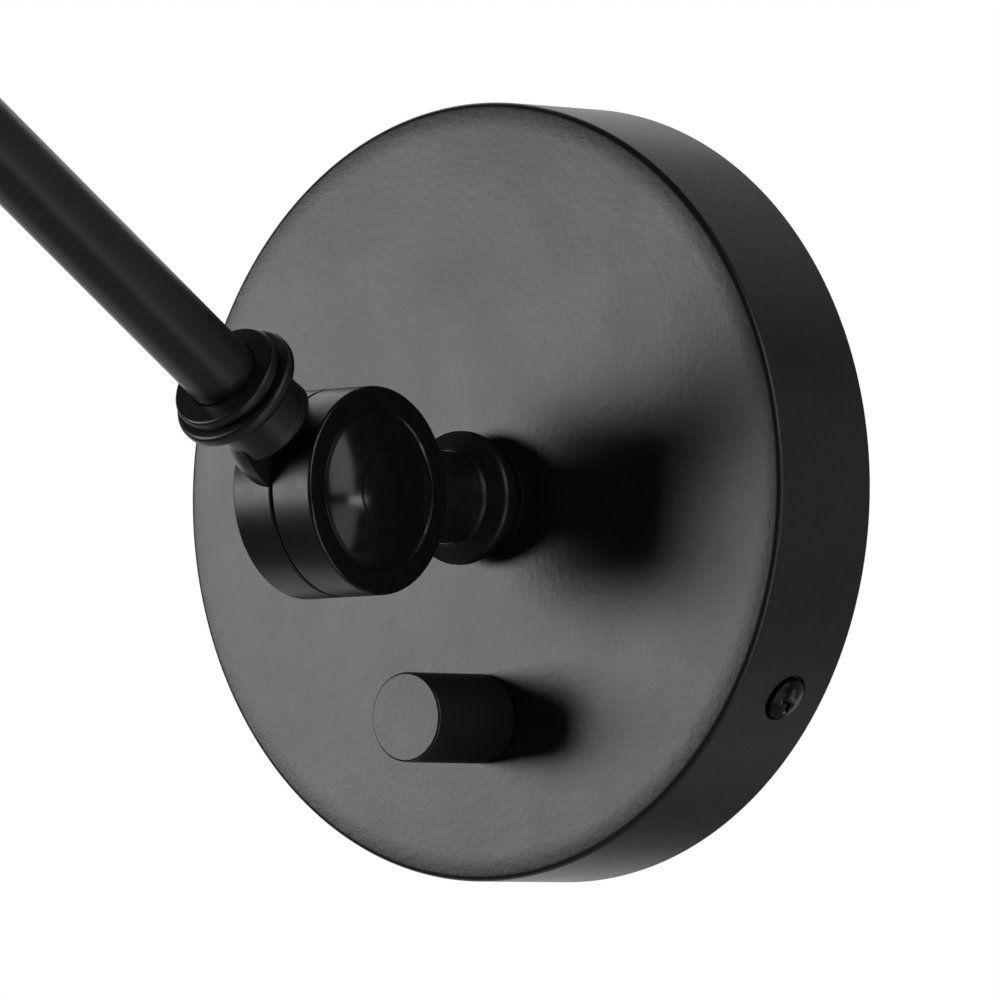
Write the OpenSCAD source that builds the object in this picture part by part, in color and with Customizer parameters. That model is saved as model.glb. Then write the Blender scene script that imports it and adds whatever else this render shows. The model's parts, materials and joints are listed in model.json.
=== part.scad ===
/* [Canopy] */
// Diameter of the round canopy that covers the wall box
canopy_d = 120; // [110:1:140]
// Depth of the canopy, wall to front face
canopy_depth = 21.8; // [21:0.1:26]
// Sheet thickness of the canopy
canopy_wall = 1.2; // [0.8:0.1:1.6]
// Outside radius of the canopy's front edge
canopy_edge_r = 0.9; // [0.5:0.1:1.5]
// Angle of the side screws, from the horizontal
side_screw_angle = -34; // [-45:1:45]
// Distance of the side screws from the wall
side_screw_out = 9; // [8:0.5:14]

/* [Dimmer] */
// Distance of the dimmer knob below the canopy's centre
knob_drop = 35; // [32:0.5:40]
// Diameter of the dimmer knob
knob_d = 13.8; // [13.4:0.1:18]
// Length of the dimmer knob
knob_l = 17.5; // [14:0.5:22]

/* [Pivot joints] */
// Distance of the post's swivel axis below the canopy's centre
post_drop = 1.1; // [0:0.1:3]
// Diameter of the round pivot joints
drum_d = 31.8; // [30:0.1:36]
// Thickness of each half of a pivot joint
half_t = 7.65; // [7:0.05:9]
// Height of the domed face of a pivot joint
dome_h = 3; // [2:0.1:3.4]
// Diameter of the neck between a pivot joint and its collar
neck_d = 14.2; // [13.6:0.1:15]
// Diameter of the widest ring of a collar
collar_d = 20.6; // [19:0.1:22]

/* [Arm] */
// Distance between the two pivot axes of the arm
arm_l = 250; // [180:5:400]
// Outside diameter of the arm tube
arm_d = 11.2; // [11.2:0.1:12]
// Angle of the arm above the horizontal as modelled
arm_rise = 33; // [0:1:60]

/* [Shade] */
// Diameter of the shade at its rim
shade_d = 146; // [130:2:180]
// Height of the shade
shade_h = 88; // [80:1:110]
// Sheet thickness of the shade
shade_wall = 1; // [0.8:0.1:1.5]
// Diameter of the cup that covers the lampholder
cup_d = 42; // [40:0.5:50]
// Length of that cup
cup_l = 46.7; // [46.7:0.1:60]
// Diameter of the lamp bulb
bulb_d = 60; // [45:1:62]

/* [Hidden] */
$fn = 96;

// clearances
fit = 0.05;               // between a shaft or thread and its hole, and between sliding faces
seam = 0.4;               // between the two halves of a pivot joint
over = 1;                 // how far a cutter runs past what it cuts

// canopy
canopy_r = canopy_d / 2;
canopy_in = canopy_depth - canopy_wall;   // wall to the inside of the front
canopy_fall = 7;          // slope of the front where it meets its rounded edge
canopy_fall_w = 3.5;      // width of that fall
canopy_inner_r = 0.5;
side_hole_r = 3.8;

// wall bracket
bracket_t = 1.6;
bracket_r = 50;
bracket_hole_r = 12;
box_pitch_min = 69.85;    // round box screw pitch, small
box_pitch_max = 88.9;     // round box screw pitch, large
slot_r = 2.3;
tab_r = canopy_r - 2;     // outside face of the bent tabs
tab_w = 14;
tab_l = 17;
tab_lap = 4;              // overlap of a tab's foot with the round plate
ground_at = [-26, 26];
ground_head_r = 3.6;
ground_head_h = 2.2;
ground_shank_r = 1.9;

// machine screws
side_head_r = 3.4;
side_head_h = 3.2;
side_shank_r = 1.7;
side_shank_l = 10;
recess_turn = 20;         // angle of the cross recess
dome_flatness = 2.4;      // 1 makes a screw head a full dome

// lamp nipple, M10 x 1, and its nut
nipple_r = 4.9;
nipple_bore_r = 3.5;
nipple_l = 22.7;
nipple_hole_r = nipple_r + fit;
nut_r = 8.08;             // 14 mm across flats
nut_t = 3.5;
lock_r = 8.2;
lock_t = 1;
wire_bushing_r = 5.4;     // flange of the nylon bushing in the nipple's end
wire_bushing_bore_r = 2.7;
wire_bushing_l = 5;

// pivot joint, measured from its axis and from its middle plane
drum_r = drum_d / 2;
face_x = seam / 2 + half_t;
dome_r = drum_r - 3.8;
dome_ball = (dome_r * dome_r + dome_h * dome_h) / (2 * dome_h);
pivot_r = 2.5;
hub_r = 5;
chamber_r = 12.4;
chamber_t = 3;
drum_edge = 0.35;
head_r = 5.4;
pocket_r = 6.3;           // pocket for the bolt's head or nut, closed by a plug
pocket_floor_x = seam / 2 + chamber_t + 2;
spring_r = 4.8;
spring_t = 0.9;
pivot_nut_r = 4.62;       // 8 mm across flats
pivot_nut_t = 2.5;
head_h = 2;
bolt_end = 0.35;          // thread past the nut
plug_gap = 0.6;

// neck and collar, measured from the pivot axis
neck_r = neck_d / 2;
neck_from = 18.7;
neck_to = 24.6;
nipple_from = 20.3;
collar_r = collar_d / 2;
collar_front = 31.3;
ring_round_r = 1.2;       // roundness of the collar's wide ring
front_ring_r = collar_r - 1.35;
front_round_r = 0.6;
boss_r = neck_r + 1.2;
boss_from = 12.6;
boss_straight = 3;
boss_top = 22;
wire_way_x = 3.4;
wire_way_r = 2.1;

// joint places
swivel_washer_r = 9.3;
swivel_washer_t = 0.9;
joint_out = canopy_depth + swivel_washer_t + collar_front;
elbow = [0, -joint_out - arm_l * cos(arm_rise), arm_l * sin(arm_rise) - post_drop];

// dimmer, measured out from the wall
dimmer_r = 12;
dimmer_back = 9.6;
dimmer_step = 1;
terminal = [2.6, 0.8, 4];
terminal_pitch = 6;
terminal_drop = 7;
bushing_r = 3.5;
bushing_to = canopy_depth + 3;
shaft_r = 3;
shaft_from = 17.6;
shaft_to = 34;
shaft_seat = 0.6;         // bushing's foot below the shaft's end
flat_from = 27;           // the shaft's flat
flat_depth = 0.9;
knob_gap = 0.6;
knob_from = canopy_depth + knob_gap;
knob_edge = 0.35;
knob_pocket_r = 6.2;
knob_pocket_l = 3.8;
dimmer_nut_r = 5.77;      // 10 mm across flats
dimmer_nut_t = 2;

// lampholder and shade, measured down from the upper pivot axis
cup_r = cup_d / 2;
cup_wall = 1.2;
cup_edge_r = 4;
cup_top = collar_front;
cup_to = cup_top + cup_l;
holder_r = 17.6;
holder_boss_r = 8;
holder_boss_l = 4.5;
holder_from = nipple_from + nipple_l;
holder_to = cup_to + 10;
holder_bore_r = 14.4;
holder_floor = cup_to - 26;
shell_r = 13.9;
shell_from = holder_floor + 3;
contact_r = 4;
contact_t = 0.9;
base_r = 13.1;
base_wall = 0.6;
base_from = holder_floor + 3.2;
base_to = cup_to + 2;
base_tip_r = 9;           // insulated end of the bulb's base
base_tip_h = 1;
bulb_r = bulb_d / 2;
bulb_end = holder_floor + 108;
bulb_mid = bulb_end - bulb_r;
glass_t = 0.9;
glass_neck_r = 12.9;
glass_blend = -48;        // angle on the globe where the neck meets it
shade_r = shade_d / 2;
shade_top_r = 25;
shade_shoulder_r = 6;
shade_slope = atan2(shade_h, shade_r - shade_top_r);
rim_bead_r = 1.6;
rim_bead_in = 0.8;        // how far the bead's middle lies inside the rim
shade_ring_r = 21.2;
shade_ring_t = 5.2;
shade_ring_edge = 0.6;

// conductors, and the connectors that join them
wire_r = 1;
wire_gap = 1.25;          // half the distance between the two conductors of a lead
connector_at = [[-34, -6, 8], [34, -6, 8], [30, 20, 8]];
connector_mouth = 3;      // depth of a connector's open end

// local Z points out of the wall
module outward() {
  rotate([90, 0, 0]) children();
}

// local Z is the dimmer's axis, out of the wall
module at_dimmer() {
  translate([0, 0, -knob_drop]) outward() children();
}

// local Z is the post's swivel axis, out of the wall
module at_post() {
  translate([0, 0, -post_drop]) outward() children();
}

// lower pivot, local Z towards the wall
module at_wall_joint() {
  translate([0, -joint_out, -post_drop]) rotate([-90, 0, 0]) children();
}

// lower pivot, local Z up the arm
module at_arm_foot() {
  translate([0, -joint_out, -post_drop]) rotate([90 - arm_rise, 0, 0]) children();
}

// upper pivot, local Z back down the arm
module at_arm_head() {
  translate(elbow) rotate([270 - arm_rise, 0, 0]) children();
}

// upper pivot, local Z down the shade
module at_shade() {
  translate(elbow) rotate([180, 0, 0]) children();
}

// points of an arc from angle a to angle b, as [radius, height]
function arc(centre, r, a, b, n = 8) =
  [for (i = [0 : n]) centre + r * [cos(a + (b - a) * i / n), sin(a + (b - a) * i / n)]];

// plain tube along Z
module tube(r_out, r_in, from, to) {
  translate([0, 0, from]) difference() {
    cylinder(r = r_out, h = to - from);
    translate([0, 0, -1]) cylinder(r = r_in, h = to - from + 2);
  }
}

// hexagonal nut along Z
module hex_nut(r_out, r_in, from, thickness) {
  translate([0, 0, from]) difference() {
    cylinder(r = r_out, h = thickness, $fn = 6);
    translate([0, 0, -1]) cylinder(r = r_in, h = thickness + 2);
  }
}

// smooth curve through a list of points
function between(a, b, c, d, t) =
  0.5 * (2 * b + (c - a) * t + (2 * a - 5 * b + 4 * c - d) * t * t + (3 * b - a - 3 * c + d) * t * t * t);
function curve(p, steps) = let (n = len(p) - 1) concat(
  [for (i = [0 : n - 1], k = [0 : steps - 1])
    between(p[max(i - 1, 0)], p[i], p[i + 1], p[min(i + 2, n)], k / steps)],
  [p[n]]);

// wire swept along a curve; the aside direction is never along it
module wire(path, r) {
  sides = 8;
  aside = [0.5, 0.3, 0.8];
  p = curve(path, 4);
  n = len(p);
  points = [for (i = [0 : n - 1])
    let (t = p[min(i + 1, n - 1)] - p[max(i - 1, 0)],
         u = cross(t, aside) / norm(cross(t, aside)),
         v = cross(t, u) / norm(t))
    for (k = [0 : sides - 1]) p[i] + r * (u * cos(360 * k / sides) + v * sin(360 * k / sides))];
  polyhedron(points, concat(
    [[for (k = [0 : sides - 1]) k]],
    [for (i = [0 : n - 2], k = [0 : sides - 1]) let (m = (k + 1) % sides)
      [i * sides + k, (i + 1) * sides + k, (i + 1) * sides + m, i * sides + m]],
    [[for (k = [sides - 1 : -1 : 0]) (n - 1) * sides + k]]));
}

// two straight conductors side by side along Z
module twin_lead(from, to) {
  for (x = [-wire_gap, wire_gap]) {
    translate([x, 0, from]) cylinder(r = wire_r, h = to - from);
  }
}

// cross recess, cut down from z = 0
module cross_recess(size, depth) {
  for (a = [0, 90]) {
    rotate([0, 0, a]) translate([-size / 2, -size / 9, -depth]) cube([size, size / 4.5, depth + 1]);
  }
}

// domed screw with a cross recess: head above z = 0, shank below
module dome_screw(r, h, shank, length) {
  ball = (r * r + h * h) / (2 * h) * dome_flatness;
  difference() {
    union() {
      intersection() {
        cylinder(r = r, h = h);
        translate([0, 0, h - ball]) sphere(r = ball);
      }
      translate([0, 0, -length]) cylinder(r = shank, h = length + 0.1);
    }
    translate([0, 0, h]) cross_recess(r * 1.15, h * 0.65);
  }
}

// ---- canopy and wall bracket ----

module canopy() {
  steep = 90 - canopy_fall;
  fall_r = canopy_fall_w / sin(canopy_fall);
  edge_at = canopy_depth - fall_r * (1 - cos(canopy_fall)) - canopy_edge_r * cos(canopy_fall);
  fall_from = canopy_r - canopy_edge_r * (1 - sin(canopy_fall)) - canopy_fall_w;
  color("#1b1b1c") difference() {
    outward() rotate_extrude() polygon(concat(
      [[canopy_r - canopy_wall, 0], [canopy_r, 0]],
      arc([canopy_r - canopy_edge_r, edge_at], canopy_edge_r, 0, steep),
      arc([fall_from, canopy_depth - fall_r], fall_r, steep + 1, 90, 6),
      [[0, canopy_depth], [0, canopy_in]],
      arc([canopy_r - canopy_wall - canopy_inner_r, canopy_in - canopy_inner_r], canopy_inner_r, 90, 0, 4)));
    outward() for (a = [0, 180]) {
      rotate([0, 0, side_screw_angle + a]) translate([canopy_r - 2 * canopy_wall, 0, side_screw_out])
        rotate([0, 90, 0]) cylinder(r = side_hole_r, h = 4 * canopy_wall);
    }
    at_post() translate([0, 0, canopy_in - over])
      cylinder(r = nipple_hole_r, h = canopy_wall + 2 * over);
    at_dimmer() translate([0, 0, canopy_in - over])
      cylinder(r = bushing_r + 2 * fit, h = canopy_wall + 2 * over);
  }
}

module box_slot() {
  pitch = (box_pitch_max - box_pitch_min) / 4;
  for (x = [-pitch, pitch]) translate([x, 0, -over]) cylinder(r = slot_r, h = bracket_t + 2 * over);
  translate([-pitch, -slot_r, -over]) cube([2 * pitch, 2 * slot_r, bracket_t + 2 * over]);
}

module wall_bracket() {
  color("#b9bcc0") outward() difference() {
    union() {
      cylinder(r = bracket_r, h = bracket_t);
      for (a = [0, 180]) rotate([0, 0, side_screw_angle + a]) {
        translate([bracket_r - tab_lap, -tab_w / 2, 0])
          cube([tab_r - bracket_r + tab_lap, tab_w, bracket_t]);
        translate([tab_r - bracket_t, -tab_w / 2, 0]) cube([bracket_t, tab_w, tab_l]);
      }
    }
    translate([0, 0, -over]) cylinder(r = bracket_hole_r, h = bracket_t + 2 * over);
    for (x = [-1, 1]) translate([x * (box_pitch_max + box_pitch_min) / 4, 0, 0]) box_slot();
    translate([ground_at[0], ground_at[1], -over])
      cylinder(r = ground_shank_r + 2 * fit, h = bracket_t + 2 * over);
    for (a = [0, 180]) rotate([0, 0, side_screw_angle + a])
      translate([tab_r - bracket_t - over, 0, side_screw_out]) rotate([0, 90, 0])
        cylinder(r = side_shank_r + fit, h = bracket_t + 2 * over);
  }
}

module canopy_screws() {
  color("#2a2a2c") outward() for (a = [0, 180]) {
    rotate([0, 0, side_screw_angle + a]) translate([tab_r, 0, side_screw_out]) rotate([0, 90, 0])
      rotate([0, 0, recess_turn]) dome_screw(side_head_r, side_head_h, side_shank_r, side_shank_l);
  }
}

module ground_screw() {
  color("#3f7a45") outward() translate([ground_at[0], ground_at[1], bracket_t])
    dome_screw(ground_head_r, ground_head_h, ground_shank_r, bracket_t - 2 * fit);
}

module swivel_washer() {
  color("#2a2a2c") at_post()
    tube(swivel_washer_r, nipple_hole_r + fit, canopy_depth, canopy_depth + swivel_washer_t - fit);
}

// ---- dimmer ----

module dimmer_body() {
  color("#26282b") at_dimmer() difference() {
    union() {
      translate([0, 0, dimmer_back + dimmer_step])
        cylinder(r = dimmer_r, h = canopy_in - dimmer_back - dimmer_step);
      translate([0, 0, dimmer_back]) cylinder(r = dimmer_r - dimmer_step, h = 2 * dimmer_step);
    }
    translate([0, 0, shaft_from - shaft_seat]) cylinder(r = bushing_r + fit / 2, h = bushing_to);
  }
}

module dimmer_bushing() {
  color("#c9a85a") at_dimmer() difference() {
    translate([0, 0, shaft_from - shaft_seat])
      cylinder(r = bushing_r, h = bushing_to - shaft_from + shaft_seat);
    translate([0, 0, shaft_from - 2 * fit]) cylinder(r = shaft_r + fit, h = bushing_to);
  }
}

module dimmer_terminals() {
  color("#c8c9cb") at_dimmer() for (x = [-terminal_pitch, 0, terminal_pitch]) {
    translate([x - terminal[0] / 2, -terminal_drop, dimmer_back - terminal[2]]) cube(terminal);
  }
}

module dimmer_nut() {
  color("#c8c9cb") at_dimmer() hex_nut(dimmer_nut_r, bushing_r + fit, canopy_depth, dimmer_nut_t);
}

module dimmer_shaft() {
  color("#c8c9cb") at_dimmer() difference() {
    translate([0, 0, shaft_from]) cylinder(r = shaft_r, h = shaft_to - shaft_from);
    translate([-shaft_r - over, shaft_r - flat_depth, flat_from]) cube(2 * (shaft_r + over));
  }
}

module dimmer_knob() {
  r = knob_d / 2;
  color("#1b1b1c") at_dimmer() difference() {
    translate([0, 0, knob_from]) rotate_extrude() polygon([
      [0, 0], [r - knob_edge, 0], [r, knob_edge],
      [r, knob_l - knob_edge], [r - knob_edge, knob_l], [0, knob_l]]);
    translate([0, 0, knob_from - over]) cylinder(r = knob_pocket_r, h = knob_pocket_l + over);
    difference() {
      translate([0, 0, knob_from + over])
        cylinder(r = shaft_r + fit / 2, h = shaft_to + 4 * fit - knob_from - over);
      translate([-shaft_r - over, shaft_r - flat_depth + fit, flat_from + 4 * fit])
        cube(2 * (shaft_r + over));
    }
  }
}

// ---- wiring in the canopy ----

module wire_connectors() {
  color("#c96a2b") outward() for (p = connector_at) translate(p) rotate([-90, 0, 0]) rotate_extrude()
    polygon([[0, connector_mouth], [4.2, connector_mouth], [4.8, 0], [6.2, 0], [5.6, 4],
      [4.5, 10], [3.9, 19], [0, 19]]);
}

module canopy_wires() {
  out = joint_out - nipple_from - nipple_l - 2.6;
  foot = -knob_drop - terminal_drop - 5 * fit;
  top = connector_at[0][1] + connector_mouth - 2 * fit;
  far_top = connector_at[2][1] + connector_mouth - 2 * fit;
  color("#2b2b2e") outward() {
    for (side = [-1, 1]) wire([[side * terminal_pitch, foot, 7], [side * terminal_pitch, foot - 2, 7],
      [side * 8.5, foot - 4.5, 7], [side * 16, foot - 4.5, 7], [side * 26, -40, 7], [side * 33, -27, 8],
      [side * 34, -15, 8], [side * 34, top, 8]], wire_r);
    wire([[wire_gap, -post_drop, out], [wire_gap + 0.4, -post_drop - 0.5, 6], [5, -5, 4.6], [14, -12, 4.6],
      [25, -18, 6], [30, -13, 8], [31.2, -8, 8], [31.5, top, 8]], wire_r);
    wire([[-wire_gap, -post_drop, out], [-wire_gap, 1 - post_drop, 6], [2, 6, 4.6], [12, 10, 4.6],
      [22, 11, 6], [28, 14, 8], [30, 18, 8], [30, far_top, 8]], wire_r);
  }
}

// ---- pivot joint parts, local X is the pivot axis, local Z the neck ----

function dome_x(r) = sqrt(dome_ball * dome_ball - r * r) - dome_ball + dome_h;

// turned half of a joint, from the middle plane towards +X
module half_drum() {
  from = seam / 2;
  crease = 0.25;
  dome_edge = dome_r - 0.15;
  steps = 8;
  rotate([0, 90, 0]) rotate_extrude() polygon(concat(
    [[pivot_r + fit, from], [hub_r, from], [hub_r, from + chamber_t], [chamber_r, from + chamber_t],
     [chamber_r, from], [drum_r - drum_edge, from], [drum_r, from + drum_edge],
     [drum_r, face_x - drum_edge], [drum_r - drum_edge, face_x], [dome_r + crease, face_x],
     [dome_r, face_x - crease]],
    [for (i = [0 : steps]) let (r = dome_edge - (dome_edge - pocket_r) * i / steps)
      [r, face_x + dome_x(r)]],
    [[pocket_r, pocket_floor_x], [pivot_r + fit, pocket_floor_x]]));
}

// outline of the boss's flare, from its straight foot at t = 0 to inside the neck at t = 1
function boss_point(t) =
  [boss_r - (boss_r - neck_r + 2 * fit) * t * t * (2 - t),
   boss_from + boss_straight + (boss_top - boss_from - boss_straight) * t];

// cast half of a joint with its boss and neck; the boss stays on this half's side
module knuckle() {
  difference() {
    union() {
      half_drum();
      rotate_extrude() polygon([[0, neck_from], [neck_r - 0.3, neck_from], [neck_r + 0.15, neck_from + 0.5],
        [neck_r, neck_from + 1.4], [neck_r, neck_to], [0, neck_to]]);
      intersection() {
        rotate_extrude() polygon(concat(
          [[0, boss_from], [boss_r, boss_from]],
          [for (i = [0 : 6]) boss_point(i / 6)],
          [[0, boss_top]]));
        translate([seam / 2, -drum_r, 0]) cube([face_x - seam / 2, 2 * drum_r, 2 * drum_r]);
      }
    }
    translate([0, 0, nipple_from]) cylinder(r = nipple_hole_r, h = neck_to);
    translate([wire_way_x, 0, boss_from - boss_straight])
      cylinder(r = wire_way_r, h = nipple_from - boss_from + boss_straight + over);
    rotate([0, 90, 0]) translate([0, 0, -over]) difference() {
      cylinder(r = chamber_r, h = over + seam / 2 + chamber_t);
      cylinder(r = hub_r, h = over + seam / 2 + chamber_t);
    }
  }
}

// right half, which takes the head of the pivot bolt
module head_knuckle() {
  color("#151516") knuckle();
}

// left half, which takes the nut
module nut_knuckle() {
  color("#151516") mirror([1, 0, 0]) knuckle();
}

// turned collar: a cone that swells from the neck to a wide ring, a groove and a smaller ring
module collar(bore_r) {
  ring_mid = neck_to + 3.1;
  groove_r = collar_r - 1.9;
  color("#151516") rotate_extrude() polygon(concat(
    [[bore_r, neck_to], [neck_r + 0.4, neck_to], [collar_r - 0.85, neck_to + 1.6]],
    arc([collar_r - ring_round_r, ring_mid], ring_round_r, -60, 70, 8),
    [[groove_r, ring_mid + 1.3], [groove_r, ring_mid + 1.6], [front_ring_r - 0.4, ring_mid + 1.8]],
    arc([front_ring_r - front_round_r, collar_front - 0.8], front_round_r, 0, 70, 5),
    [[front_ring_r - 2 * front_round_r, collar_front], [bore_r, collar_front]]));
}

module nipple() {
  color("#c9a85a") tube(nipple_r, nipple_bore_r, nipple_from, nipple_from + nipple_l);
}

module pivot_bolt() {
  color("#1d1d1f") rotate([0, 90, 0]) translate([0, 0, pocket_floor_x])
    dome_screw(head_r, head_h, pivot_r, 2 * pocket_floor_x + spring_t + pivot_nut_t + bolt_end);
}

module friction_washer() {
  color("#3a3a3c") rotate([0, 90, 0])
    tube(drum_r - drum_edge - 2 * fit, chamber_r + seam, fit - seam / 2, seam / 2);
}

module spring_washer() {
  color("#c8c9cb") rotate([0, -90, 0])
    tube(spring_r, pivot_r + fit, pocket_floor_x + fit, pocket_floor_x + spring_t);
}

module pivot_nut() {
  color("#c8c9cb") rotate([0, -90, 0])
    hex_nut(pivot_nut_r, pivot_r + fit, pocket_floor_x + spring_t, pivot_nut_t);
}

// domed plug that closes a pocket, flush with the domed face
module pivot_plug() {
  steps = 5;
  r = pocket_r - fit;
  back = pocket_floor_x + spring_t + pivot_nut_t + plug_gap;
  color("#151516") rotate([0, 90, 0]) rotate_extrude() polygon(concat(
    [[0, back], [r, back]],
    [for (i = [0 : steps]) let (q = r * (1 - i / steps)) [q, face_x + dome_x(q)]]));
}

// ---- swivelling part at the wall ----

module wall_knuckle() { at_wall_joint() head_knuckle(); }
module wall_collar() { at_wall_joint() collar(nipple_hole_r); }
module wall_nipple() { at_wall_joint() nipple(); }
module wall_lock_washer() {
  color("#c8c9cb") at_post() tube(lock_r, nipple_hole_r, canopy_in - fit - lock_t, canopy_in - fit);
}
module wall_nut() {
  color("#c8c9cb") at_post() hex_nut(nut_r, nipple_hole_r, canopy_in - fit - lock_t - nut_t, nut_t);
}
module wall_wire_bushing() {
  end = joint_out - nipple_from - nipple_l;
  color("#e8e6df") at_post() difference() {
    union() {
      translate([0, 0, end - 1]) cylinder(r = wire_bushing_r, h = 1);
      translate([0, 0, end - 2 * fit]) cylinder(r = nipple_bore_r - fit / 2, h = wire_bushing_l);
    }
    translate([0, 0, end - 1 - over]) cylinder(r = wire_bushing_bore_r, h = 2 * wire_bushing_l);
  }
}
module wall_lead() {
  color("#2b2b2e") at_wall_joint() twin_lead(nipple_from + 2 * fit, nipple_from + nipple_l + 1);
}
module lower_pivot_bolt() { at_wall_joint() pivot_bolt(); }
module lower_head_plug() { at_wall_joint() pivot_plug(); }
module lower_friction_washer() { at_wall_joint() friction_washer(); }
module lower_spring_washer() { at_wall_joint() spring_washer(); }
module lower_pivot_nut() { at_wall_joint() pivot_nut(); }

// ---- arm ----

module lower_knuckle() { at_arm_foot() nut_knuckle(); }
module lower_pivot_plug() { at_arm_foot() mirror([1, 0, 0]) pivot_plug(); }
module lower_collar() { at_arm_foot() collar(arm_d / 2 + fit); }
module arm_tube() {
  color("#1b1b1c") at_arm_foot() tube(arm_d / 2, nipple_hole_r + fit, neck_to, arm_l - neck_to);
}
module arm_nipples() {
  at_arm_foot() nipple();
  at_arm_head() nipple();
}
module arm_lead() {
  color("#2b2b2e") at_arm_foot() twin_lead(nipple_from + 2 * fit, arm_l - nipple_from - 2 * fit);
}
module upper_collar() { at_arm_head() collar(arm_d / 2 + fit); }
module upper_knuckle() { at_arm_head() nut_knuckle(); }
module upper_pivot_plug() { at_arm_head() mirror([1, 0, 0]) pivot_plug(); }

// ---- shade head ----

module shade_knuckle() { at_shade() head_knuckle(); }
module shade_collar() { at_shade() collar(nipple_hole_r); }
module shade_nipple() { at_shade() nipple(); }
module shade_lock_washer() {
  color("#c8c9cb") at_shade() tube(lock_r, nipple_hole_r, cup_top + cup_wall, cup_top + cup_wall + lock_t);
}
module shade_nut() {
  color("#c8c9cb") at_shade() hex_nut(nut_r, nipple_hole_r, cup_top + cup_wall + lock_t, nut_t);
}
module upper_pivot_bolt() { at_shade() pivot_bolt(); }
module upper_head_plug() { at_shade() pivot_plug(); }
module upper_friction_washer() { at_shade() friction_washer(); }
module upper_spring_washer() { at_shade() spring_washer(); }
module upper_pivot_nut() { at_shade() pivot_nut(); }

module socket_cup() {
  corner = [cup_r - cup_edge_r, cup_top + cup_edge_r];
  color("#1b1b1c") at_shade() rotate_extrude() polygon(concat(
    [[nipple_hole_r, cup_top + cup_wall], [nipple_hole_r, cup_top]],
    arc(corner, cup_edge_r, -90, 0),
    [[cup_r, cup_to], [cup_r - cup_wall, cup_to]],
    arc(corner, cup_edge_r - cup_wall, 0, -90)));
}

module lampholder() {
  color("#1d1d1f") at_shade() difference() {
    union() {
      translate([0, 0, holder_from - holder_boss_l]) cylinder(r = holder_boss_r, h = holder_boss_l + over);
      translate([0, 0, holder_from]) cylinder(r = holder_r, h = holder_to - holder_from);
    }
    translate([0, 0, holder_from - holder_boss_l - over])
      cylinder(r = nipple_hole_r, h = holder_boss_l + over + fit);
    translate([0, 0, holder_floor]) cylinder(r = holder_bore_r, h = holder_to);
  }
}

module screw_shell() {
  color("#c9a85a") at_shade() tube(shell_r, base_r + 2 * fit, shell_from, cup_to + 1);
}

module centre_contact() {
  color("#c9a85a") at_shade() translate([0, 0, holder_floor]) cylinder(r = contact_r, h = contact_t);
}

module socket_lead() {
  color("#2b2b2e") at_shade() twin_lead(nipple_from + 2 * fit, holder_from);
}

// spun cone with a rounded shoulder and a rolled rim
module shade() {
  shoulder = [shade_top_r - shade_shoulder_r * tan(shade_slope / 2), cup_to + shade_shoulder_r];
  rim = [shade_r, cup_to + shade_h];
  inward = [-sin(shade_slope), cos(shade_slope)];
  hole_r = holder_r + seam;
  color("#1b1b1c") at_shade() union() {
    rotate_extrude() polygon(concat(
      [[hole_r, cup_to + shade_wall], [hole_r, cup_to]],
      arc(shoulder, shade_shoulder_r, -90, shade_slope - 90),
      [rim, rim + shade_wall * inward],
      arc(shoulder, shade_shoulder_r - shade_wall, shade_slope - 90, -90)));
    rotate_extrude() translate(rim - [rim_bead_in, 0]) circle(r = rim_bead_r, $fn = 32);
  }
}

module shade_ring() {
  from = cup_to + shade_wall;
  to = from + shade_ring_t;
  color("#1d1d1f") at_shade() rotate_extrude() polygon([
    [holder_r + fit, from], [shade_ring_r - shade_ring_edge, from],
    [shade_ring_r, from + shade_ring_edge], [shade_ring_r, to - 2 * shade_ring_edge],
    [shade_ring_r - 2 * shade_ring_edge, to], [holder_r + fit, to]]);
}

module bulb_glass() {
  n = 8;
  start = [glass_neck_r, base_to];
  meet = [bulb_r * cos(glass_blend), bulb_mid + bulb_r * sin(glass_blend)];
  out_neck = [for (i = [0 : n]) let (t = i / n)
    [start[0] + (meet[0] - start[0]) * (t * t * (1.7 - 0.7 * t)), start[1] + (meet[1] - start[1]) * t]];
  in_neck = [for (i = [n : -1 : 0]) out_neck[i] - [glass_t, 0]];
  color("#f2efe6") at_shade() rotate_extrude() polygon(concat(
    out_neck,
    arc([0, bulb_mid], bulb_r, glass_blend + 4, 90, 16),
    arc([0, bulb_mid], bulb_r - glass_t, 90, glass_blend + 4, 16),
    in_neck));
}

module bulb_base() {
  color("#c8c9cb") at_shade() difference() {
    union() {
      translate([0, 0, base_from]) cylinder(r = base_r, h = base_to - base_from);
      translate([0, 0, base_from - base_tip_h]) cylinder(r = base_tip_r, h = 2 * base_tip_h);
    }
    translate([0, 0, base_from + base_tip_h]) cylinder(r = base_r - base_wall, h = base_to);
  }
}

module bulb_contact() {
  from = holder_floor + contact_t + 2 * fit;
  color("#9a9ca0") at_shade() translate([0, 0, from])
    cylinder(r = contact_r, h = base_from - base_tip_h - from);
}

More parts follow.
